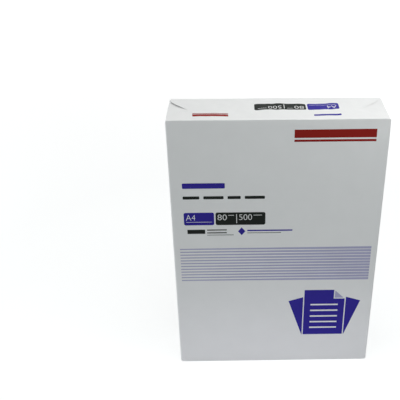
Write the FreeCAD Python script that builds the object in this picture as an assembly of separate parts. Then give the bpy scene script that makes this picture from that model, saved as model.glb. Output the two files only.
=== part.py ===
import FreeCAD
import Part

import os

# A sealed ream of office paper, standing on its lower end. All sizes are in millimetres.
# The front face looks along -Y, the ream is tall along Z, and the origin is the middle of its foot.

# The sheets inside
SHEET_WIDTH = 210.0
SHEET_LENGTH = 297.0
SHEET_COUNT = 500
SHEET_CALIPER = 0.105

# What the wrapper and the air under it add to the stack
SIDE_SLACK = 1.0
FACE_SLACK = 0.75
END_SLACK = 0.1
EDGE_RADIUS = 1.2

# The end folds: the narrow sides are tucked in first, then the back flap, then the front flap
FLAP_LENGTH = 48.0
FLAP_STEP = 0.5
LEFT_CREASE_SET = 8.5
RIGHT_CREASE_SET = 3.0

# The long glued lap on the back. Its free edge stands off, and it lies down towards the right.
LAP_EDGE_FROM_LEFT = 77.5
LAP_LIFT = 0.9
LAP_LAND_FROM_RIGHT = 14.0

# Ink on the wrapper, as thin films, and the margins of the front's print
INK = 0.05
LEFT_MARGIN = 12.5
RIGHT_MARGIN = 12.7

# The red rule at the top right, a thick bar over a thin one
RED_DROP = 10.5
RED_LENGTH = 78.0
RED_BAR_HEIGHT = 8.6
RED_GAP = 1.8
RED_LINE_HEIGHT = 2.3

# The heading and the words under it, as plain bars
HEADING_DROP = 67.0
HEADING_LENGTH = 42.0
HEADING_HEIGHT = 6.0
WORDS_DROP = 8.7
WORD_HEIGHT = 3.4
WORD_LENGTHS = (16.5, 20.0, 13.0, 20.0)
WORD_GAP = 4.0
BAR_CORNER = 0.9

# The two plates that carry the sheet size, the weight and the count
PLATE_DROP = 15.5
PLATE_HEIGHT = 14.8
PLATE_CORNER = 2.0
PLATE_GAP = 1.5
SIZE_PLATE_LENGTH = 30.5
COUNT_PLATE_LENGTH = 50.2

# The row of small print under the plates: a first note, then a diamond and a second note
NOTE_DROP = 3.1
NOTE_INDENT = 3.0
NOTE_LENGTH = 18.0
NOTE_HEIGHT = 5.0
SMALL_GAP = 2.0
SMALL_LENGTH = 20.0
SMALL_HEIGHT = 1.2
SMALL_PITCH = 3.4
RULE_LENGTH = 27.0
RULE_HEIGHT = 0.6
RULE_PITCH = 3.0
DIAMOND_GAP = 4.5
DIAMOND_WIDTH = 7.4
DIAMOND_HEIGHT = 9.4
CLAIM_LENGTH = 46.0
CLAIM_HEIGHT = 1.6
CLAIM_RULE_LENGTH = 34.5

# The band of tapered stripes under the small print, across the whole front
BAND_MARGIN = 6.8
BAND_DROP = 16.7
STRIPE_COUNT = 12
STRIPE_PITCH = 3.6
STRIPE_THIN = 1.2
STRIPE_THICK = 2.8

# The fan of three sheets under the band, low on the right
FAN_FROM_RIGHT = 52.0
FAN_DROP = 15.0
FRONT_SHEET_WIDTH = 44.0
FRONT_SHEET_HEIGHT = 62.0
SIDE_SHEET_WIDTH = 40.0
SIDE_SHEET_HEIGHT = 56.6
FAN_PIVOT_DROP = 8.0
FAN_ANGLE = 18.0
KEYLINE = 1.2
TURNED_CORNER = 12.0
SHEET_MARGIN = 7.0
SHEET_LINES = 5
SHEET_LINE_DROP = 19.0
SHEET_LINE_PITCH = 8.0
SHEET_LINE_HEIGHT = 2.0

# The print on the upper end, which is read from behind the ream
END_PLATE_FROM_RIGHT = 45.8
END_PLATE_FROM_FRONT = 25.1
END_ROW_FROM_FRONT = 9.5
END_HEADING_LENGTH = 26.0
END_HEADING_HEIGHT = 4.0
END_RED_FROM_LEFT = 24.7
END_RED_LENGTH = 34.0
END_RED_BAR_HEIGHT = 5.0
END_RED_GAP = 1.0
END_RED_LINE_HEIGHT = 1.4

STACK_DEPTH = SHEET_COUNT * SHEET_CALIPER
REAM_WIDTH = SHEET_WIDTH + 2 * SIDE_SLACK
REAM_DEPTH = STACK_DEPTH + 2 * FACE_SLACK
REAM_HEIGHT = SHEET_LENGTH + 2 * (END_SLACK + 2 * FLAP_STEP)
LEFT, RIGHT = -REAM_WIDTH / 2, REAM_WIDTH / 2
FRONT, BACK = -REAM_DEPTH / 2, REAM_DEPTH / 2
LAP_EDGE = LEFT + LAP_EDGE_FROM_LEFT

# The tops of the front's rows of print, each hung from the row above it
PRINT_LEFT = LEFT + LEFT_MARGIN
PRINT_RIGHT = RIGHT - RIGHT_MARGIN
RED_TOP = REAM_HEIGHT - RED_DROP
HEADING_TOP = REAM_HEIGHT - HEADING_DROP
WORDS_TOP = HEADING_TOP - HEADING_HEIGHT - WORDS_DROP
PLATE_TOP = WORDS_TOP - WORD_HEIGHT - PLATE_DROP
NOTE_TOP = PLATE_TOP - PLATE_HEIGHT - NOTE_DROP
NOTE_MIDDLE = NOTE_TOP - DIAMOND_HEIGHT / 2
BAND_TOP = NOTE_TOP - DIAMOND_HEIGHT - BAND_DROP
SHEET_TOP = BAND_TOP - (STRIPE_COUNT - 1) * STRIPE_PITCH - FAN_DROP
FAN_FOOT = SHEET_TOP - FRONT_SHEET_HEIGHT
FAN_MIDDLE = RIGHT - FAN_FROM_RIGHT
SHEET_RIGHT = FAN_MIDDLE + FRONT_SHEET_WIDTH / 2


def face_through(points):
    """A flat face with straight edges through the points."""
    corners = [FreeCAD.Vector(*p) for p in points]
    return Part.Face(Part.makePolygon(corners + corners[:1]))


def folded_end_block(drop, plan):
    """The ream with both ends lowered by drop and all its edges rounded, cut to an (x, y) outline."""
    corner = FreeCAD.Vector(LEFT, FRONT, drop)
    block = Part.makeBox(REAM_WIDTH, REAM_DEPTH, REAM_HEIGHT - 2 * drop, corner)
    column = face_through([(x, y, 0) for x, y in plan]).extrude(FreeCAD.Vector(0, 0, REAM_HEIGHT))
    return block.makeFillet(EDGE_RADIUS, block.Edges).common(column)


def flap_plan(base, inward):
    """The outline of an end flap, which narrows at 45 degrees from its own edge of the ream."""
    far = base + inward * FLAP_LENGTH
    return [
        (LEFT, base),
        (RIGHT, base),
        (RIGHT, base + inward * RIGHT_CREASE_SET),
        (RIGHT + RIGHT_CREASE_SET - FLAP_LENGTH, far),
        (LEFT - LEFT_CREASE_SET + FLAP_LENGTH, far),
        (LEFT, base + inward * LEFT_CREASE_SET),
    ]


def tuck_plan():
    """The outline of the tucked sides, from one side of the ream to the other under both flaps."""
    return [
        (LEFT, FRONT + LEFT_CREASE_SET),
        (RIGHT, FRONT + RIGHT_CREASE_SET),
        (RIGHT, BACK - RIGHT_CREASE_SET),
        (LEFT, BACK - LEFT_CREASE_SET),
    ]


def back_lap():
    """The thickness that the lap adds to the back, sloping down until it sinks into the back face."""
    land = RIGHT - LAP_LAND_FROM_RIGHT
    end = RIGHT - EDGE_RADIUS
    sunk = LAP_LIFT * (end - land) / (land - LAP_EDGE)
    plan = [
        (LAP_EDGE, 0, FLAP_STEP),
        (end, 0, FLAP_STEP),
        (end, BACK - sunk, FLAP_STEP),
        (LAP_EDGE, BACK + LAP_LIFT, FLAP_STEP),
    ]
    lap = face_through(plan).extrude(FreeCAD.Vector(0, 0, REAM_HEIGHT - 2 * FLAP_STEP))
    sloping = [edge for edge in lap.Edges if edge.BoundBox.YLength > 0 and edge.BoundBox.YMin > 0]
    return lap.makeFillet(EDGE_RADIUS, sloping)


def wrapped_ream():
    """The sealed pack: the folded wrapper round the stack, as one solid."""
    tucks = folded_end_block(2 * FLAP_STEP, tuck_plan())
    back_flaps = folded_end_block(FLAP_STEP, flap_plan(BACK, -1))
    front_flaps = folded_end_block(0, flap_plan(FRONT, 1))
    return tucks.fuse([back_flaps, front_flaps, back_lap()]).removeSplitter()


def on_front(points):
    """A film of ink on the front face, over an outline of (x, z) points."""
    return face_through([(x, FRONT, z) for x, z in points]).extrude(FreeCAD.Vector(0, -INK, 0))


def front_bar(left, top, length, height, corner=0):
    """A bar of ink on the front face, from its top left corner."""
    bar = Part.makeBox(length, INK, height, FreeCAD.Vector(left, FRONT - INK, top - height))
    if corner:
        bar = bar.makeFillet(corner, [edge for edge in bar.Edges if abs(edge.tangentAt(0).y) > 0.5])
    return bar


def end_bar(left, from_front, length, height, corner=0):
    """A bar of ink on the upper end, from its left end and its side nearest the front face."""
    bar = Part.makeBox(length, height, INK, FreeCAD.Vector(left, FRONT + from_front, REAM_HEIGHT))
    if corner:
        bar = bar.makeFillet(corner, [edge for edge in bar.Edges if abs(edge.tangentAt(0).z) > 0.5])
    return bar


def red_rules():
    """The thick and thin bars at the top right, and their small repeat on the upper end."""
    left = PRINT_RIGHT - RED_LENGTH
    end_left = LEFT + END_RED_FROM_LEFT
    end_line = END_ROW_FROM_FRONT + END_RED_BAR_HEIGHT + END_RED_GAP
    return [
        front_bar(left, RED_TOP, RED_LENGTH, RED_BAR_HEIGHT),
        front_bar(left, RED_TOP - RED_BAR_HEIGHT - RED_GAP, RED_LENGTH, RED_LINE_HEIGHT),
        end_bar(end_left, END_ROW_FROM_FRONT, END_RED_LENGTH, END_RED_BAR_HEIGHT),
        end_bar(end_left, end_line, END_RED_LENGTH, END_RED_LINE_HEIGHT),
    ]


def headings():
    """The heading bar on the front, and its repeat on the upper end beside the size plate's end."""
    end_left = RIGHT - END_PLATE_FROM_RIGHT - END_HEADING_LENGTH
    return [
        front_bar(PRINT_LEFT, HEADING_TOP, HEADING_LENGTH, HEADING_HEIGHT, BAR_CORNER),
        end_bar(end_left, END_ROW_FROM_FRONT, END_HEADING_LENGTH, END_HEADING_HEIGHT, BAR_CORNER),
    ]


def words():
    """The line of words under the heading, a bar for each."""
    left, made = PRINT_LEFT, []
    for length in WORD_LENGTHS:
        made.append(front_bar(left, WORDS_TOP, length, WORD_HEIGHT, BAR_CORNER))
        left += length + WORD_GAP
    return made


def size_plates():
    """The plate for the sheet size, on the front and on the upper end."""
    end_left = RIGHT - END_PLATE_FROM_RIGHT - SIZE_PLATE_LENGTH
    return [
        front_bar(PRINT_LEFT, PLATE_TOP, SIZE_PLATE_LENGTH, PLATE_HEIGHT, PLATE_CORNER),
        end_bar(end_left, END_PLATE_FROM_FRONT, SIZE_PLATE_LENGTH, PLATE_HEIGHT, PLATE_CORNER),
    ]


def count_plates():
    """The plate for the weight and the count, beside the size plate in both places."""
    left = PRINT_LEFT + SIZE_PLATE_LENGTH + PLATE_GAP
    end_left = RIGHT - END_PLATE_FROM_RIGHT - SIZE_PLATE_LENGTH - PLATE_GAP - COUNT_PLATE_LENGTH
    return [
        front_bar(left, PLATE_TOP, COUNT_PLATE_LENGTH, PLATE_HEIGHT, PLATE_CORNER),
        end_bar(end_left, END_PLATE_FROM_FRONT, COUNT_PLATE_LENGTH, PLATE_HEIGHT, PLATE_CORNER),
    ]


def first_note():
    """The first note: a large bar, two small lines beside it, and a rule under those."""
    left = PRINT_LEFT + NOTE_INDENT
    beside = left + NOTE_LENGTH + SMALL_GAP
    top = NOTE_MIDDLE + NOTE_HEIGHT / 2
    return [
        front_bar(left, top, NOTE_LENGTH, NOTE_HEIGHT),
        front_bar(beside, top, SMALL_LENGTH, SMALL_HEIGHT),
        front_bar(beside, top - SMALL_PITCH, SMALL_LENGTH, SMALL_HEIGHT),
        front_bar(beside, top - SMALL_PITCH - RULE_PITCH, RULE_LENGTH, RULE_HEIGHT),
    ]


def second_note():
    """The second note: (the diamond at its head and its line, the rule under the line)."""
    left = PRINT_LEFT + NOTE_INDENT + NOTE_LENGTH + SMALL_GAP + RULE_LENGTH + DIAMOND_GAP
    middle = left + DIAMOND_WIDTH / 2
    right = left + DIAMOND_WIDTH
    low = NOTE_TOP - DIAMOND_HEIGHT
    diamond = on_front([(left, NOTE_MIDDLE), (middle, low), (right, NOTE_MIDDLE), (middle, NOTE_TOP)])
    claim_left = right + SMALL_GAP
    claim_top = NOTE_MIDDLE + SMALL_PITCH / 2
    claim = front_bar(claim_left, claim_top, CLAIM_LENGTH, CLAIM_HEIGHT)
    rule = front_bar(claim_left, claim_top - SMALL_PITCH, CLAIM_RULE_LENGTH, RULE_HEIGHT)
    return [diamond, claim], [rule]


def front_sheet():
    """The fan's front sheet, open at its turned corner, with lines left bare across it."""
    left = SHEET_RIGHT - FRONT_SHEET_WIDTH
    corner_left, corner_foot = SHEET_RIGHT - TURNED_CORNER, SHEET_TOP - TURNED_CORNER
    outline = [
        (left, FAN_FOOT),
        (SHEET_RIGHT, FAN_FOOT),
        (SHEET_RIGHT, corner_foot),
        (corner_left, corner_foot),
        (corner_left, SHEET_TOP),
        (left, SHEET_TOP),
    ]
    length = FRONT_SHEET_WIDTH - 2 * SHEET_MARGIN
    first = SHEET_TOP - SHEET_LINE_DROP
    lines = [
        front_bar(left + SHEET_MARGIN, first - row * SHEET_LINE_PITCH, length, SHEET_LINE_HEIGHT)
        for row in range(SHEET_LINES)
    ]
    return on_front(outline).cut(lines)


def turned_corner():
    """The front sheet's corner, turned down over it, with a bare keyline along its two free sides."""
    left = SHEET_RIGHT - TURNED_CORNER + KEYLINE
    foot = SHEET_TOP - TURNED_CORNER + KEYLINE
    return on_front([(left, foot), (SHEET_RIGHT - KEYLINE, foot), (left, SHEET_TOP - KEYLINE)])


def side_sheet(side):
    """A side sheet of the fan (side -1 or 1): turned about the pivot, and bare up to the keyline."""
    corner = FreeCAD.Vector(FAN_MIDDLE - SIDE_SHEET_WIDTH / 2, FRONT - INK, FAN_FOOT)
    sheet = Part.makeBox(SIDE_SHEET_WIDTH, INK, SIDE_SHEET_HEIGHT, corner)
    pivot = FreeCAD.Vector(FAN_MIDDLE, FRONT, FAN_FOOT - FAN_PIVOT_DROP)
    sheet.rotate(pivot, FreeCAD.Vector(0, 1, 0), side * FAN_ANGLE)
    clear = FRONT_SHEET_WIDTH / 2 + KEYLINE
    start = FAN_MIDDLE + clear if side > 0 else FAN_MIDDLE - clear - REAM_WIDTH
    beside = Part.makeBox(REAM_WIDTH, REAM_DEPTH, REAM_HEIGHT, FreeCAD.Vector(start, FRONT - INK, FAN_FOOT))
    return sheet.common(beside)


def stripes():
    """The band's stripes, each a long wedge from thin at the left to thick at the right."""
    left, right = LEFT + BAND_MARGIN, RIGHT - BAND_MARGIN
    made = []
    for number in range(STRIPE_COUNT):
        z = BAND_TOP - number * STRIPE_PITCH
        left_end = [(left, z + STRIPE_THIN / 2), (left, z - STRIPE_THIN / 2)]
        right_end = [(right, z - STRIPE_THICK / 2), (right, z + STRIPE_THICK / 2)]
        made.append(on_front(left_end + right_end))
    return made


def violet_print():
    """Everything in the dark violet ink."""
    sheets = [front_sheet(), side_sheet(-1), side_sheet(1)]
    return [*headings(), *size_plates(), *second_note()[0], *sheets]


def charcoal_print():
    """Everything in the near-black ink."""
    return [*words(), *count_plates(), *first_note(), *second_note()[1]]


def lilac_print():
    """Everything in the pale ink."""
    return [*stripes(), turned_corner()]


NODES = {
    "wrapped_ream": lambda: [wrapped_ream()],
    "violet_print": violet_print,
    "charcoal_print": charcoal_print,
    "lilac_print": lilac_print,
    "red_print": red_rules,
}

os.makedirs("parts", exist_ok=True)
for name, make in NODES.items():
    Part.makeCompound(make()).exportStep(f"parts/{name}.step")
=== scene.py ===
import math

import bmesh
import bpy
import numpy as np
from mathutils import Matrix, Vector


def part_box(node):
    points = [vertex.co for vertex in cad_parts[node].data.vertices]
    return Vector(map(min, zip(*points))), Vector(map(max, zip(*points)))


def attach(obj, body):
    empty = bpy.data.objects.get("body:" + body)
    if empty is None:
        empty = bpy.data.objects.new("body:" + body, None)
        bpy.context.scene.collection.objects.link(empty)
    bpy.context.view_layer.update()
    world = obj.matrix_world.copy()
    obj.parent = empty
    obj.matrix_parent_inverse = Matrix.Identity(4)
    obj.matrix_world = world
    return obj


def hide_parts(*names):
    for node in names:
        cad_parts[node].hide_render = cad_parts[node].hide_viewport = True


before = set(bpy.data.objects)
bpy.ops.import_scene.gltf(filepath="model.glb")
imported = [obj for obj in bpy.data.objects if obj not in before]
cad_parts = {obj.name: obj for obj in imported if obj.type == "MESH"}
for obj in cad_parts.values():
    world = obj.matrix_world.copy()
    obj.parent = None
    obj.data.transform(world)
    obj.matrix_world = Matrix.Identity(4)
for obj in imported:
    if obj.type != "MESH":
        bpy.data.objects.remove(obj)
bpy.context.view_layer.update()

# How the wrapper lies on the stack: a white coated sheet, tight over the stack's edges and a little
# slack between them, most of all on the upper end. Its print is on the sheet and lies the same way.
MM = 0.001
LAP_LIFT = 0.9
(left, front, foot), (right, lap_back, top) = (
    [value / MM for value in corner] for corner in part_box("wrapped_ream")
)
back = lap_back - LAP_LIFT

# The upper end sinks, less at its creases and its left. A ripple has a depth, length, slant and shift.
SINK_START, SINK_FULL = 14.0, 1.0
SINK_LEAST = 0.05
SINK_DEPTH = 0.75
SINK_LENGTH = 66.0
SINK_SHIFT = -1.0
RIPPLES = ((0.36, 17.5, 0.3, -2.5), (0.22, 10.3, -0.45, 1.0), (0.2, 27.0, 1.3, 4.0))
RIPPLE_LEAST = 0.35
RIPPLE_SWELL = 4.7
CREASE_LOOSE = 0.14
FRONT_CREASE_REACH = 16.0
BACK_CREASE_REACH = 14.0
LEFT_TIGHT = 0.6
LEFT_TIGHT_REACH, LEFT_TIGHT_FULL = 45.0, 10.0

# The faces draw in. A sine has a size, a length across the face, a length up it and a shift.
FACE_SLACK = 0.26
FACE_SWAY = 0.55
FACE_SINES = ((0.25, 29.0, 61.0, 0.0), (0.2, -53.0, 37.0, 2.0))
FACE_HOLD = 24.0
SIDE_SLACK = 0.45
SIDE_SWAY = 0.6
SIDE_SINES = ((0.25, math.inf, 17.0, 0.0), (0.15, 11.0, 7.3, 0.0))
SIDE_HOLD = 9.0
FOOT_HOLD = 22.0
TOP_HOLD = 18.0

# The corners give way. A nick has a side, a distance from the front face and a depth.
CORNER_LEAN = 0.9
LEAN_HEIGHT = 24.0
LEAN_REACH, LEAN_FULL = 80.0, 5.0
SIDE_NICKS = ((left, 8.5, 1.1), (right, 4.7, 0.9))
NICK_WIDTH = 2.5
NICK_HEIGHT = 7.0
FOOT_LIFT = 0.6
FOOT_LIFT_REACH = 12.0
FOOT_LIFT_HEIGHT = 8.0


def eased(start, end, value):
    """How far value is from start to end, 0 to 1: three times its square less twice its cube."""
    share = np.clip((value - start) / (end - start), 0, 1)
    return share * share * (3 - 2 * share)


def waves(value, length, shift=0.0):
    """A cosine of that wave length, from 0 at its troughs to 1 at its crests."""
    return (1 + np.cos(2 * math.pi * (value - shift) / length)) / 2


def swayed(middle, sines, across_face, up_face):
    """The middle value plus each sine: its size times the sine of the place across the face over its
    first length, plus the place up the face over its second, plus its shift."""
    total = middle
    for size, across_length, up_length, shift in sines:
        total = total + size * np.sin(across_face / across_length + up_face / up_length + shift)
    return total


def slackened(points):
    """Points on the tight wrapper, moved to the slack one. The upper end sinks by long waves and by
    short slanting ripples across the width, less at its creases and on its left. Each face draws in by
    slow sines that die away towards its edges. The front leans back at its upper right corner, both
    sides are nicked where the front flap folds, and the foot is lifted at its front left corner."""
    x, y, z = np.asarray(points, float).reshape(-1, 3).T
    clear_of_front = eased(front, front + FRONT_CREASE_REACH, y)
    clear_of_back = eased(back, back - BACK_CREASE_REACH, y)
    loose = CREASE_LOOSE + (1 - CREASE_LOOSE) * clear_of_front * clear_of_back
    loose = loose * (1 - LEFT_TIGHT * eased(left + LEFT_TIGHT_REACH, left + LEFT_TIGHT_FULL, x))
    sink = SINK_DEPTH * (1 - waves(x, SINK_LENGTH, SINK_SHIFT))
    for depth, length, slant, shift in RIPPLES:
        swell = waves(x - 2 * slant * y, RIPPLE_SWELL * length, 2 * shift)
        swell = RIPPLE_LEAST + (1 - RIPPLE_LEAST) * swell
        sink = sink + depth * swell * waves(x + slant * y, length, shift)
    sink = (SINK_LEAST + loose * sink) * eased(top - SINK_START, top - SINK_FULL, z)

    hold_width = eased(0, FACE_HOLD, x - left) * eased(0, FACE_HOLD, right - x)
    hold_depth = eased(0, SIDE_HOLD, y - front) * eased(0, SIDE_HOLD, back - y)
    hold_height = eased(0, FOOT_HOLD, z - foot) * eased(0, TOP_HOLD, top - z)
    drawn = FACE_SLACK * swayed(FACE_SWAY, FACE_SINES, x, z) * hold_width * hold_height
    lean = CORNER_LEAN * eased(LEAN_HEIGHT, 0, top - z) * eased(LEAN_REACH, LEAN_FULL, right - x)
    y_in = (drawn + lean) * eased(0, front, y) - drawn * eased(0, back, y)

    x_in = SIDE_SLACK * swayed(SIDE_SWAY, SIDE_SINES, y, z) * hold_depth * hold_height
    x_in = x_in * (eased(0, left, x) - eased(0, right, x))
    for side, from_front, depth in SIDE_NICKS:
        nick = depth * np.exp(-(((y - front - from_front) / NICK_WIDTH) ** 2))
        nick = nick * eased(NICK_HEIGHT, 0, top - z)
        x_in -= np.sign(side) * nick * eased(0, side, x)
    lifted = FOOT_LIFT * eased(FOOT_LIFT_REACH, 0, x - left) * eased(FOOT_LIFT_HEIGHT, 0, z - foot)
    lifted = lifted * eased(0, front, y)
    return np.column_stack([x + x_in, y + y_in, z - sink + lifted])


# The wrapper: one sheet folded round the stack and glued along a lap on the back. Each end closes like
# a parcel, in layers: the narrow sides tucked in, the back flap over them, and the front flap outermost.
# The left tuck is pushed in below the back flap's fold, which stands open there.
EDGE_RADIUS = 1.6
FOLD_RADIUS = 0.55
PAPER = 0.12
SHEET_MESH = 3.0
FLAP_MESH = 1.6
RIM_STEP = 0.1
EDGE_STEPS = 4
TURN_POINTS = 8

# The flaps: a slanted fold starts a set distance from its corner, and a flap's folds come down by a
# landing. A row of its tail on the broad face lies so far inside the face and so far below the turn.
FLAP_LENGTH = 48.0
FRONT_FLAP_LEVEL = 0.0
BACK_FLAP_LEVEL = 0.25
TUCK_LEVEL = 0.45
FLAP_INSET = 1.4
FLAP_TAIL = ((0.12, 5.0), (0.08, 3.0), (0.03, 1.2))
LEFT_SET, RIGHT_SET = 8.5, 3.0
CREASE_BOW = 4.0
LAND_WIDTH = 5.0
FRONT_LANDING = 0.29
FRONT_LANDING_LESS = 0.18
FRONT_LANDING_STEP = 4.0
BACK_LANDING = 0.05
FOLD_LIFT = 0.3
FOLD_LIFT_WIDTH = 7.0
FOLD_LIFT_END, FOLD_LIFT_FULL = 30.0, 8.0
CREASE_LIFT = 0.1
CREASE_LIFT_END, CREASE_LIFT_FULL = 6.0, 1.0
LIFTED_HEIGHT = 2.0

# The tucks: a furrow beside each slanted fold of the back flap, from the back crease to its end.
LEFT_POCKET, RIGHT_POCKET = 1.5, 0.5
POCKET_WIDTH = 3.4
POCKET_OFFSET = 0.8
POCKET_START, POCKET_FULL = 0.5, 4.0
POCKET_END, POCKET_FADE = 31.0, 10.0
POCKET_HEIGHT = 4.0

# The lap: its free edge, where it lies down, and how far past there it goes on inside the sheet.
LAP_EDGE = left + 77.5
LAP_LAND = right - 14.0
LAP_PAST_LAND = 8.0
LAP_LEVEL = 0.05
LAP_RADIUS = 0.8
LAP_REACH = 14.0
LAP_REACH_POINTS = 8
LAP_POINTS = 60
LAP_DIP = 0.6
LAP_DIP_START = 3.0
LAP_RISE_START, LAP_RISE_FULL = 7.0, 2.0
LAP_RISE_LEAST = 0.5
LAP_LIFT_LEAST = 0.4
LAP_LIFT_UPPER = 0.5
LAP_LIFT_START, LAP_LIFT_FULL = 60.0, 8.0
LAP_WAVE, LAP_WAVE_LENGTH = 0.12, 13.0
LAP_RISE = 0.05
LAP_SINK_OUT, LAP_SINK_UP = 2.5, 10.0


def edge_steps(low, high):
    """Positions along one side of a block: even steps, and four finer ones over each rounded edge, at
    the tangents of equal angles from 0 to 45 degrees."""
    turn = EDGE_RADIUS * np.tan(np.linspace(0, math.pi / 4, EDGE_STEPS + 1))
    count = round((high - low - 2 * EDGE_RADIUS) / SHEET_MESH)
    middle = np.linspace(low + EDGE_RADIUS, high - EDGE_RADIUS, count + 1)
    return np.concatenate([low + EDGE_RADIUS - turn[:0:-1], middle, high - EDGE_RADIUS + turn[1:]])


def grid_faces(rows, columns):
    """The quads of a grid of points numbered row by row, each from a point along its row first."""
    corner = (np.arange(rows - 1)[:, None] * columns + np.arange(columns - 1)).ravel()
    return np.column_stack([corner, corner + 1, corner + columns + 1, corner + columns])


def rounded_block(low, high):
    """Points and faces of a block with round edges and corners: grids on the six sides of a box,
    welded, and each point pulled to one radius from the box that is smaller by that radius all round."""
    steps = [edge_steps(a, b) for a, b in zip(low, high)]
    points, faces, count = [], [], 0
    for axis in range(3):
        u, v = (axis + 1) % 3, (axis + 2) % 3
        quads = grid_faces(len(steps[v]), len(steps[u]))
        for limit, turned in ((low[axis], True), (high[axis], False)):
            side = np.empty((len(steps[v]), len(steps[u]), 3))
            side[..., axis] = limit
            side[..., u] = steps[u][None, :]
            side[..., v] = steps[v][:, None]
            points.append(side.reshape(-1, 3))
            faces.append((quads[:, ::-1] if turned else quads) + count)
            count += side.size // 3
    points, place = np.unique(np.round(np.concatenate(points), 6), axis=0, return_inverse=True)
    faces = place.ravel()[np.concatenate(faces)]
    core = np.clip(points, np.array(low) + EDGE_RADIUS, np.array(high) - EDGE_RADIUS)
    out = points - core
    points = core + EDGE_RADIUS * out / np.linalg.norm(out, axis=1, keepdims=True)
    return points, faces


def paper_layer(grid, thickness=PAPER):
    """A closed sheet under a grid of outer points: the grid, the same grid a thickness below it along
    its normals, and a rim between their borders that bulges by half the thickness."""
    normal = np.cross(np.gradient(grid, axis=1), np.gradient(grid, axis=0))
    middle = np.array([(left + right) / 2, (front + back) / 2, (foot + top) / 2])
    if np.sum(normal * (grid - middle)) < 0:
        grid, normal = grid[:, ::-1], -normal[:, ::-1]
    normal = normal / np.linalg.norm(normal, axis=2, keepdims=True)
    rows, columns = grid.shape[:2]
    number = np.arange(rows * columns).reshape(rows, columns)
    border = np.concatenate([number[0, :-1], number[:-1, -1], number[-1, :0:-1], number[:0:-1, 0]])
    row, column = np.divmod(border, columns)
    inside = grid[np.clip(row, 1, rows - 2), np.clip(column, 1, columns - 2)]
    outward = grid[row, column] - inside
    outward = outward / np.linalg.norm(outward, axis=1, keepdims=True)
    rim = grid[row, column] + (outward - normal[row, column]) * thickness / 2
    points = np.concatenate([grid.reshape(-1, 3), (grid - thickness * normal).reshape(-1, 3), rim])
    quads = grid_faces(rows, columns)
    under = rows * columns
    edge = 2 * under + np.arange(len(border))
    after, edge_after = np.roll(border, -1), np.roll(edge, -1)
    upper_rim = np.column_stack([after, border, edge, edge_after])
    lower_rim = np.column_stack([edge_after, edge, border + under, after + under])
    return points, np.concatenate([quads, quads[:, ::-1] + under, upper_rim, lower_rim])


def crease_inset(run, start):
    """How far in from the side edge a flap's slanted fold lies, run mm in from the flap's crease: one
    branch of a hyperbola, which leaves the side edge at the crease and runs out at 45 degrees."""
    reach = run - start
    rest = (math.sqrt(start**2 + CREASE_BOW**2) - start) / 2
    return (reach + np.sqrt(reach**2 + CREASE_BOW**2)) / 2 - rest


def across(low, high, step):
    """Even steps from low to high, with one more step of a tenth of a millimetre inside each end."""
    even = np.linspace(low + RIM_STEP, high - RIM_STEP, max(round((high - low) / step), 2))
    return np.concatenate([[low], even, [high]])


def end_flap(face, inward, level, lands):
    """The upper end's flap from one broad face: up the face, round its crease by a quarter turn and in
    over the end, where it narrows between its two slanted folds and comes down on the layer below."""
    turn = np.linspace(0, math.pi / 2, TURN_POINTS)
    tail_in, tail_down = np.array(FLAP_TAIL).T
    tail = len(FLAP_TAIL)
    run = np.concatenate([
        tail_in,
        FOLD_RADIUS * (1 - np.cos(turn)),
        across(FOLD_RADIUS, FLAP_LENGTH, FLAP_MESH)[1:],
    ])
    crest = top - level
    height = np.full_like(run, crest)
    height[:tail] = crest - FOLD_RADIUS - tail_down
    height[tail:tail + len(turn)] = crest - FOLD_RADIUS * (1 - np.sin(turn))
    start = left + FLAP_INSET + crease_inset(run, LEFT_SET)
    end = right - FLAP_INSET - crease_inset(run, RIGHT_SET)
    share = across(0, right - left, FLAP_MESH) / (right - left)
    x = start[:, None] + share * (end - start)[:, None]
    y = np.broadcast_to((face + inward * run)[:, None], x.shape)
    z = np.broadcast_to(height[:, None], x.shape).copy()
    near_fold = np.minimum(x - start[:, None], end[:, None] - x)
    landing = 1 - eased(0, LAND_WIDTH, near_fold)
    z -= lands(y) * landing * (height >= crest - FOLD_RADIUS)[:, None]
    return np.stack([x, y, z], axis=2)


def at_the_foot(points):
    """The same layer on the lower end: the heights change places."""
    return points * [1, 1, -1] + [0, 0, top + foot]


def pocket(points):
    """The tucks as they are pushed in beside the back flap's slanted folds: a furrow along each fold,
    with a bell curve across it. It starts at the back crease and ends under the front flap."""
    x, y, z = points.T
    run = back - y
    along = eased(POCKET_END, POCKET_FADE, run) * eased(POCKET_START, POCKET_FULL, run)
    sunk = np.zeros(len(points))
    for edge, inward, start, depth in (
        (left, 1, LEFT_SET, LEFT_POCKET),
        (right, -1, RIGHT_SET, RIGHT_POCKET),
    ):
        fold = FLAP_INSET + crease_inset(run, start)
        beside = (fold - inward * (x - edge)) / math.sqrt(2)
        sunk += depth * along * np.exp(-((beside - POCKET_OFFSET) / POCKET_WIDTH) ** 2)
    return points - np.column_stack([0 * x, 0 * y, sunk * (z > top - POCKET_HEIGHT)])


def back_flap_lift(grid):
    """The upper back flap lifted by the greater of two eased slopes: its left fold stands up towards the
    corner, and its crease a little."""
    x, y, z = np.moveaxis(grid, 2, 0)
    fold = left + FLAP_INSET + crease_inset(back - y, LEFT_SET)
    lift = FOLD_LIFT * eased(FOLD_LIFT_WIDTH, 0, x - fold)
    lift = lift * eased(FOLD_LIFT_END, FOLD_LIFT_FULL, back - y)
    lift = np.maximum(lift, CREASE_LIFT * eased(CREASE_LIFT_END, CREASE_LIFT_FULL, back - y))
    return grid + np.stack([0 * x, 0 * y, lift * (z > top - LIFTED_HEIGHT)], axis=2)


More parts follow.
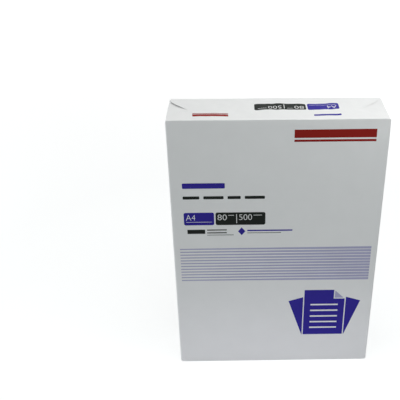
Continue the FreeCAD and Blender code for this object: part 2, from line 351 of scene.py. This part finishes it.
def lap():
    """The outer end of the sheet, lapped over the back and both back creases: straight runs and quarter
    turns of its own radius. It is lifted in proportion to the distance from where it lies down, so most
    at its free edge, and sunk into the sheet past there. Its two ends dip into the end folds."""
    x = across(LAP_EDGE, LAP_LAND + LAP_PAST_LAND, SHEET_MESH)
    share = (LAP_LAND - x) / (LAP_LAND - LAP_EDGE)
    share = np.where(share < 0, LAP_SINK_OUT * share, share)
    under = np.linspace(back - LAP_REACH, back - LAP_RADIUS, LAP_REACH_POINTS)
    turn = np.linspace(0, math.pi / 2, TURN_POINTS)[1:-1]
    crest = top - LAP_LEVEL
    dip = LAP_DIP * eased(back - LAP_DIP_START, back - LAP_REACH, under)
    down = np.linspace(crest - LAP_RADIUS, (top + foot) / 2, LAP_POINTS)
    run_y = np.concatenate([under, back - LAP_RADIUS * (1 - np.sin(turn)), np.full(len(down), back)])
    run_z = np.concatenate([crest - dip, crest - LAP_RADIUS * (1 - np.cos(turn)), down])
    out_y = np.concatenate([np.zeros(len(under)), np.sin(turn), np.ones(len(down))])
    rise = eased(back - LAP_RISE_START, back - LAP_RISE_FULL, under)
    rise = LAP_RISE_LEAST + (1 - LAP_RISE_LEAST) * rise
    out_z = np.concatenate([rise, np.cos(turn), np.zeros(len(down))])
    lift = LAP_LIFT_LEAST + LAP_LIFT_UPPER * eased(top - LAP_LIFT_START, top - LAP_LIFT_FULL, down)
    lift = np.minimum(lift + LAP_WAVE * np.sin(down / LAP_WAVE_LENGTH), LAP_LIFT)
    lift = np.concatenate([np.full(len(under) + len(turn), LAP_LIFT), lift])
    y = run_y[:, None] + (out_y * lift)[:, None] * share
    z = run_z[:, None] + out_z[:, None] * np.where(share < 0, LAP_SINK_UP, LAP_RISE) * share
    half = np.stack([np.broadcast_to(x, y.shape), y, z], axis=2)
    other = at_the_foot(half)[-2::-1]
    return np.concatenate([half, other])


def joined(parts):
    """Several sets of points and faces as one."""
    starts = np.cumsum([0] + [len(points) for points, _ in parts[:-1]])
    points = np.concatenate([points for points, _ in parts])
    return points, np.concatenate([faces + start for (_, faces), start in zip(parts, starts)])


def mesh_object(name, points, faces, smooth_to=60.0):
    """A mesh object at the origin from points in millimetres, smooth up to that angle in degrees."""
    mesh = bpy.data.meshes.new(name)
    mesh.from_pydata((np.asarray(points) * MM).tolist(), [], [list(face) for face in faces])
    mesh.shade_smooth()
    mesh.set_sharp_from_angle(angle=math.radians(smooth_to))
    made = bpy.data.objects.new(name, mesh)
    bpy.context.scene.collection.objects.link(made)
    return made


def front_landing(y):
    """How far the front flap's folds come down: on the tucks at first, and less on the back flap."""
    return FRONT_LANDING - FRONT_LANDING_LESS * eased(-FRONT_LANDING_STEP, FRONT_LANDING_STEP, y)


def back_landing(y):
    """How far the back flap's folds come down: the same all along."""
    return BACK_LANDING


core_low = (left, front, foot + TUCK_LEVEL)
core_high = (right, back, top - TUCK_LEVEL)
core_points, core_faces = rounded_block(core_low, core_high)
front_flap = end_flap(front, 1, FRONT_FLAP_LEVEL, front_landing)
back_flap = end_flap(back, -1, BACK_FLAP_LEVEL, back_landing)
layers = [front_flap, back_flap_lift(back_flap), at_the_foot(front_flap), at_the_foot(back_flap), lap()]
parts = [(pocket(core_points), core_faces), *[paper_layer(grid) for grid in layers]]
sheet_points, sheet_faces = joined(parts)
wrapper = mesh_object("wrapper", slackened(sheet_points), sheet_faces)

# The sheet's crease attribute: 1 at the edges of the stack, dying away exponentially from them.
CREASE_FADE = 2.5


def edge_distance(points):
    """How far each point is from the nearest edge of the stack: the middle one, by size, of its
    distances to the nearer face in x, in y and in z."""
    low, high = np.array([left, front, foot]), np.array([right, back, top])
    return np.sort(np.abs(np.minimum(points - low, high - points)), axis=1)[:, 1]


crease = wrapper.data.attributes.new("crease", "FLOAT", "POINT")
crease_values = np.exp(-edge_distance(sheet_points) / CREASE_FADE)
crease.data.foreach_set("value", crease_values.astype(np.float32))

# The sheet's surface. A noise has a scale and a detail.
MOTTLE, SHEEN, FIBRE, COCKLE, WRINKLES = (38, 3), (160, 4), (1500, 2), (70, 1), (420, 3)
NOISE_LOW, NOISE_HIGH = 0.3, 0.7
FIBRE_SHARE = 0.25
WRAPPER_WHITE = (0.88, 0.88, 0.88)


def paper_grain():
    """The coated sheet's own surface, in object coordinates: broad faint mottling in its shade, finer
    changes in its gloss, and a height of short fibres over slow cockles."""
    group = bpy.data.node_groups.new("paper_grain", "ShaderNodeTree")
    sockets = (
        ("Shade Least", "INPUT", 0.97),
        ("Roughness Least", "INPUT", 0.3),
        ("Roughness Most", "INPUT", 0.45),
        ("Shade", "OUTPUT", None),
        ("Roughness", "OUTPUT", None),
        ("Height", "OUTPUT", None),
    )
    for name, way, value in sockets:
        socket = group.interface.new_socket(name=name, in_out=way, socket_type="NodeSocketFloat")
        if value is not None:
            socket.default_value = value
    node, link = group.nodes.new, group.links.new
    inputs, outputs = node("NodeGroupInput"), node("NodeGroupOutput")
    place = node("ShaderNodeTexCoord")

    def noise(scale, detail):
        made = node("ShaderNodeTexNoise")
        made.inputs["Scale"].default_value = scale
        made.inputs["Detail"].default_value = detail
        link(place.outputs["Object"], made.inputs["Vector"])
        return made

    mottle, sheen, fibre, cockle = (noise(*kind) for kind in (MOTTLE, SHEEN, FIBRE, COCKLE))
    for source, least, most, target in (
        (mottle, inputs.outputs["Shade Least"], None, "Shade"),
        (sheen, inputs.outputs["Roughness Least"], inputs.outputs["Roughness Most"], "Roughness"),
    ):
        spread = node("ShaderNodeMapRange")
        spread.inputs["From Min"].default_value = NOISE_LOW
        spread.inputs["From Max"].default_value = NOISE_HIGH
        link(source.outputs["Fac"], spread.inputs["Value"])
        link(least, spread.inputs["To Min"])
        if most is not None:
            link(most, spread.inputs["To Max"])
        link(spread.outputs["Result"], outputs.inputs[target])
    height = node("ShaderNodeMath")
    height.operation = "MULTIPLY_ADD"
    height.inputs[1].default_value = FIBRE_SHARE
    link(fibre.outputs["Fac"], height.inputs[0])
    link(cockle.outputs["Fac"], height.inputs[2])
    link(height.outputs["Value"], outputs.inputs["Height"])
    return group


def coated_paper(name, colour, shade_least, roughness, shine, bump_depth, creased=False):
    """A satin paper or ink of one colour over the sheet's grain. Where it is creased, fine wrinkles run
    along the folds, held there by the sheet's crease attribute."""
    material = bpy.data.materials.new(name)
    material.use_nodes = True
    tree = material.node_tree
    node, link = tree.nodes.new, tree.links.new
    shader = tree.nodes["Principled BSDF"]
    grain = node("ShaderNodeGroup")
    grain.node_tree = bpy.data.node_groups.get("paper_grain") or paper_grain()
    grain.inputs["Shade Least"].default_value = shade_least
    grain.inputs["Roughness Least"].default_value = roughness[0]
    grain.inputs["Roughness Most"].default_value = roughness[1]
    tint = node("ShaderNodeMix")
    tint.data_type = "RGBA"
    tint.blend_type = "MULTIPLY"
    tint.inputs["Factor"].default_value = 1.0
    tint.inputs["A"].default_value = (*colour, 1)
    link(grain.outputs["Shade"], tint.inputs["B"])
    link(tint.outputs["Result"], shader.inputs["Base Color"])
    link(grain.outputs["Roughness"], shader.inputs["Roughness"])
    shader.inputs["Specular IOR Level"].default_value = shine
    bump = node("ShaderNodeBump")
    bump.inputs["Strength"].default_value = 1.0
    bump.inputs["Distance"].default_value = bump_depth
    height = grain.outputs["Height"]
    if creased:
        place, wrinkle, fold, add = (node(kind) for kind in (
            "ShaderNodeTexCoord", "ShaderNodeTexNoise", "ShaderNodeAttribute", "ShaderNodeMath"))
        wrinkle.inputs["Scale"].default_value = WRINKLES[0]
        wrinkle.inputs["Detail"].default_value = WRINKLES[1]
        fold.attribute_name = "crease"
        add.operation = "MULTIPLY_ADD"
        link(place.outputs["Object"], wrinkle.inputs["Vector"])
        link(wrinkle.outputs["Fac"], add.inputs[0])
        link(fold.outputs["Fac"], add.inputs[1])
        link(height, add.inputs[2])
        height = add.outputs["Value"]
    link(height, bump.inputs["Height"])
    link(bump.outputs["Normal"], shader.inputs["Normal"])
    return material


wrapper_paper = coated_paper(
    "white_coated_paper",
    WRAPPER_WHITE,
    shade_least=0.975,
    roughness=(0.34, 0.46),
    shine=0.5,
    bump_depth=0.00006,
    creased=True,
)
wrapper.data.materials.append(wrapper_paper)
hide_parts("wrapped_ream")
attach(wrapper, "root")


# The print: four inks on the sheet, violet, charcoal, lilac and red, each a thin film with crisp edges.
# Every film is cut into small pieces, so that it follows the slack sheet that it is printed on.
FILM_CUT = 1.5
FILM_WELD = 1e-7
CUT_WELD = 3e-7
FILM_SMOOTH = 40.0


def laid_on_sheet(name, bm, material):
    """A film of print as a new piece: welded, cut by planes at even steps in x, y and z, welded again
    where a cut passes close to a corner, and moved with the sheet under it."""
    bmesh.ops.remove_doubles(bm, verts=bm.verts, dist=FILM_WELD)
    for axis in range(3):
        spots = [vertex.co[axis] for vertex in bm.verts]
        low, high = min(spots) / MM, max(spots) / MM
        direction = Vector((axis == 0, axis == 1, axis == 2))
        for spot in np.arange(math.floor(low / FILM_CUT) * FILM_CUT, high, FILM_CUT):
            every = bm.verts[:] + bm.edges[:] + bm.faces[:]
            bmesh.ops.bisect_plane(bm, geom=every, plane_co=direction * spot * MM, plane_no=direction)
    bmesh.ops.remove_doubles(bm, verts=bm.verts, dist=CUT_WELD)
    bm.verts.index_update()
    points = np.array([vertex.co for vertex in bm.verts]) / MM
    faces = [[vertex.index for vertex in face.verts] for face in bm.faces]
    bm.free()
    film = mesh_object(name, slackened(points), faces, FILM_SMOOTH)
    film.data.materials.append(material)
    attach(film, "root")
    return film


INKS = {
    "violet": (0.042, 0.03, 0.33),
    "charcoal": (0.02, 0.024, 0.021),
    "lilac": (0.47, 0.46, 0.66),
    "red": (0.31, 0.02, 0.016),
}
for ink, colour in INKS.items():
    material = coated_paper(
        f"{ink}_ink", colour, shade_least=0.93, roughness=(0.28, 0.4), shine=0.03, bump_depth=0.00004
    )
    bm = bmesh.new()
    bm.from_mesh(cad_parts[f"{ink}_print"].data)
    film = laid_on_sheet(f"{ink}_film", bm, material)
    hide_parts(f"{ink}_print")


# The lettering of the plates: the sheet size, the weight and the count, with small bars beside them.
# It is left bare in the ink, so it has the sheet's own white. The upper end repeats it, turned round to
# be read from behind.
INK = 0.05
NUMBER_RISE = 0.04
NUMBER_HEIGHT = 6.6
STROKE_THINNED = 0.012
PLATE_DROP = 100.6
PRINT_MARGIN = 12.5
END_PLATE_FROM_RIGHT = 45.8
END_PLATE_FROM_FRONT = 25.1

# A number has its text, its place along and down from the plates' upper left corner, and its length. A
# bar has the same three sizes and its height.
NUMBERS = (("A4", 2.1, 2.4, 9.5), ("80", 34.0, 2.4, 9.3), ("500", 55.7, 2.4, 13.0))
SMALL_BARS = (
    (2.4, 10.9, 26.0, 0.4),
    (44.6, 3.1, 6.0, 0.55),
    (52.9, 1.9, 0.6, 10.8),
    (70.3, 3.1, 8.6, 0.55),
)


def number_outline(text):
    """The solid letters of a plain number, as points from 0 to 1 in each direction, and faces."""
    curve = bpy.data.curves.new("number", "FONT")
    curve.body = text
    curve.extrude = 0.1
    curve.offset = -STROKE_THINNED
    curve.resolution_u = 6
    letters = bpy.data.objects.new("number", curve)
    mesh = bpy.data.meshes.new_from_object(letters)
    points = np.array([vertex.co for vertex in mesh.vertices])
    faces = [list(face.vertices) for face in mesh.polygons]
    bpy.data.objects.remove(letters)
    bpy.data.curves.remove(curve)
    bpy.data.meshes.remove(mesh)
    low, high = points.min(0), points.max(0)
    return (points - low) / (high - low), faces


def bar_outline():
    """A block from 0 to 1 in each direction."""
    points = np.array([(x, y, z) for x in (0, 1) for y in (0, 1) for z in (0, 1)], float)
    faces = [[0, 1, 3, 2], [4, 6, 7, 5], [0, 4, 5, 1], [2, 3, 7, 6], [0, 2, 6, 4], [1, 5, 7, 3]]
    return points, faces


lettering = bmesh.new()
blocks = [(number_outline(text), *sizes, NUMBER_HEIGHT) for text, *sizes in NUMBERS]
blocks += [(bar_outline(), *bar) for bar in SMALL_BARS]
places = (
    (Vector((left + PRINT_MARGIN, front - INK, top - PLATE_DROP)), (1, 0, 0), (0, 0, 1), (0, -1, 0)),
    (
        Vector((right - END_PLATE_FROM_RIGHT, front + END_PLATE_FROM_FRONT, top + INK)),
        (-1, 0, 0),
        (0, -1, 0),
        (0, 0, 1),
    ),
)
for origin, reading, upward, outward in places:
    for (points, faces), along, drop, length, height in blocks:
        flat = np.array([along, -drop - height, 0]) + points * [length, height, NUMBER_RISE]
        placed = np.array(origin) + flat @ np.array([reading, upward, outward], float)
        corners = [lettering.verts.new(point * MM) for point in placed]
        for face in faces:
            lettering.faces.new([corners[index] for index in face])
laid_on_sheet("plate_lettering", lettering, wrapper_paper)


# The surface that the ream stands on, and the light: a white sweep under a large soft lamp overhead. A
# smaller lamp is near the upper right and a low one in front of the foot, and two more light the ream
# from the left and from the rear.
FLOOR_REACH = 4.0
FLOOR_NEAR, FLOOR_FAR = 0.45, 1.8
FLOOR_GLOW_NEAR, FLOOR_GLOW_FAR = 0.63, 0.92
FLOOR_GREY = (0.5, 0.545, 0.55, 1)
FLOOR_WHITE = (1, 0.965, 0.96, 1)
SURROUND_COLOUR = (0.94, 0.99, 1.0, 1)
SURROUND_STRENGTH = 0.235


def seen_directly(tree):
    """A value of 1 for what the camera sees, also in shine and through glass, and 0 for other light."""
    path = tree.nodes.new("ShaderNodeLightPath")
    value = path.outputs["Is Camera Ray"]
    for kind in ("Is Glossy Ray", "Is Transmission Ray"):
        either = tree.nodes.new("ShaderNodeMath")
        either.operation = "MAXIMUM"
        tree.links.new(value, either.inputs[0])
        tree.links.new(path.outputs[kind], either.inputs[1])
        value = either.outputs["Value"]
    return value


def white_floor():
    """A floor that a camera, a mirror or a glass shows as white, brighter from itself the farther it is
    from the lamps, and that lights the ream as a pale grey table."""
    material = bpy.data.materials.new("white_floor")
    material.use_nodes = True
    tree = material.node_tree
    node, link = tree.nodes.new, tree.links.new
    shader = tree.nodes["Principled BSDF"]
    shader.inputs["Base Color"].default_value = FLOOR_GREY
    shader.inputs["Roughness"].default_value = 0.9
    shader.inputs["Emission Color"].default_value = FLOOR_WHITE
    place, distance = node("ShaderNodeTexCoord"), node("ShaderNodeVectorMath")
    distance.operation = "LENGTH"
    link(place.outputs["Object"], distance.inputs[0])
    glow = node("ShaderNodeMapRange")
    for name, value in (
        ("From Min", FLOOR_NEAR),
        ("From Max", FLOOR_FAR),
        ("To Min", FLOOR_GLOW_NEAR),
        ("To Max", FLOOR_GLOW_FAR),
    ):
        glow.inputs[name].default_value = value
    link(distance.outputs["Value"], glow.inputs["Value"])
    strength = node("ShaderNodeMath")
    strength.operation = "MULTIPLY"
    link(seen_directly(tree), strength.inputs[0])
    link(glow.outputs["Result"], strength.inputs[1])
    link(strength.outputs["Value"], shader.inputs["Emission Strength"])
    return material


reach = FLOOR_REACH / MM
floor_corners = [(-reach, -reach, 0), (reach, -reach, 0), (reach, reach, 0), (-reach, reach, 0)]
floor = mesh_object("floor", floor_corners, [(0, 1, 2, 3)])
floor.data.materials.append(white_floor())

world = bpy.data.worlds.new("studio")
bpy.context.scene.world = world
world.use_nodes = True
tree = world.node_tree
node, link = tree.nodes.new, tree.links.new
surround = tree.nodes["Background"]
surround.inputs["Color"].default_value = SURROUND_COLOUR
surround.inputs["Strength"].default_value = SURROUND_STRENGTH
white = node("ShaderNodeBackground")
white.inputs["Color"].default_value = (1, 1, 1, 1)
white.inputs["Strength"].default_value = 1.0
choice = node("ShaderNodeMixShader")
link(seen_directly(tree), choice.inputs["Fac"])
link(surround.outputs["Background"], choice.inputs[1])
link(white.outputs["Background"], choice.inputs[2])
link(choice.outputs["Shader"], tree.nodes["World Output"].inputs["Surface"])


def soft_lamp(name, place, aim, size, power, colour=(1, 1, 1), shine=True):
    """An area lamp at a place, turned to a point, with a width and a length, all in metres, and a power
    in watts. No camera sees it, and with shine off it makes no highlight."""
    data = bpy.data.lights.new(name, "AREA")
    data.shape = "RECTANGLE"
    data.size, data.size_y = size
    data.energy = power
    data.color = colour
    lamp = bpy.data.objects.new(name, data)
    lamp.location = place
    lamp.rotation_euler = (Vector(aim) - Vector(place)).to_track_quat("-Z", "Y").to_euler()
    lamp.visible_camera = False
    lamp.visible_glossy = shine
    bpy.context.scene.collection.objects.link(lamp)


soft_lamp("overhead", (-0.05, -0.32, 1.7), (0, 0, 0.2), (1.3, 1.3), 12.5, (0.99, 1.0, 0.98))
soft_lamp("upper_right", (0.25, -0.17, 0.56), (0.1, -0.03, 0.29), (0.2, 0.2), 0.5, shine=False)
soft_lamp("foot", (0, -0.125, 0.012), (0, 0, 0.012), (0.34, 0.02), 0.031, (0.95, 0.86, 1.0), False)
soft_lamp("left", (-1.0, -0.05, 0.13), (-0.1, 0, 0.13), (0.5, 0.2), 3.2, (0.98, 0.97, 1.0), False)
soft_lamp("rear", (0.5, 1.0, 0.2), (0, 0, 0.15), (0.5, 0.3), 2.2, shine=False)


# The camera: above and in front of the ream, looking down at it by 30 degrees, a little from the left.
# Its place was worked out from the ream's six visible corners.
camera_data = bpy.data.cameras.new("camera")
camera_data.lens = 61.93
camera_data.sensor_width = 36
camera_data.shift_x = -0.1275
camera_data.clip_start = 0.05
camera_data.clip_end = 20
camera = bpy.data.objects.new("camera", camera_data)
camera.location = (-0.0381, -0.6179, 0.5555)
camera.rotation_euler = (math.radians(59.9), 0, math.radians(-1.19))
bpy.context.scene.collection.objects.link(camera)
bpy.context.scene.camera = camera
bpy.context.scene.view_settings.view_transform = "Standard"
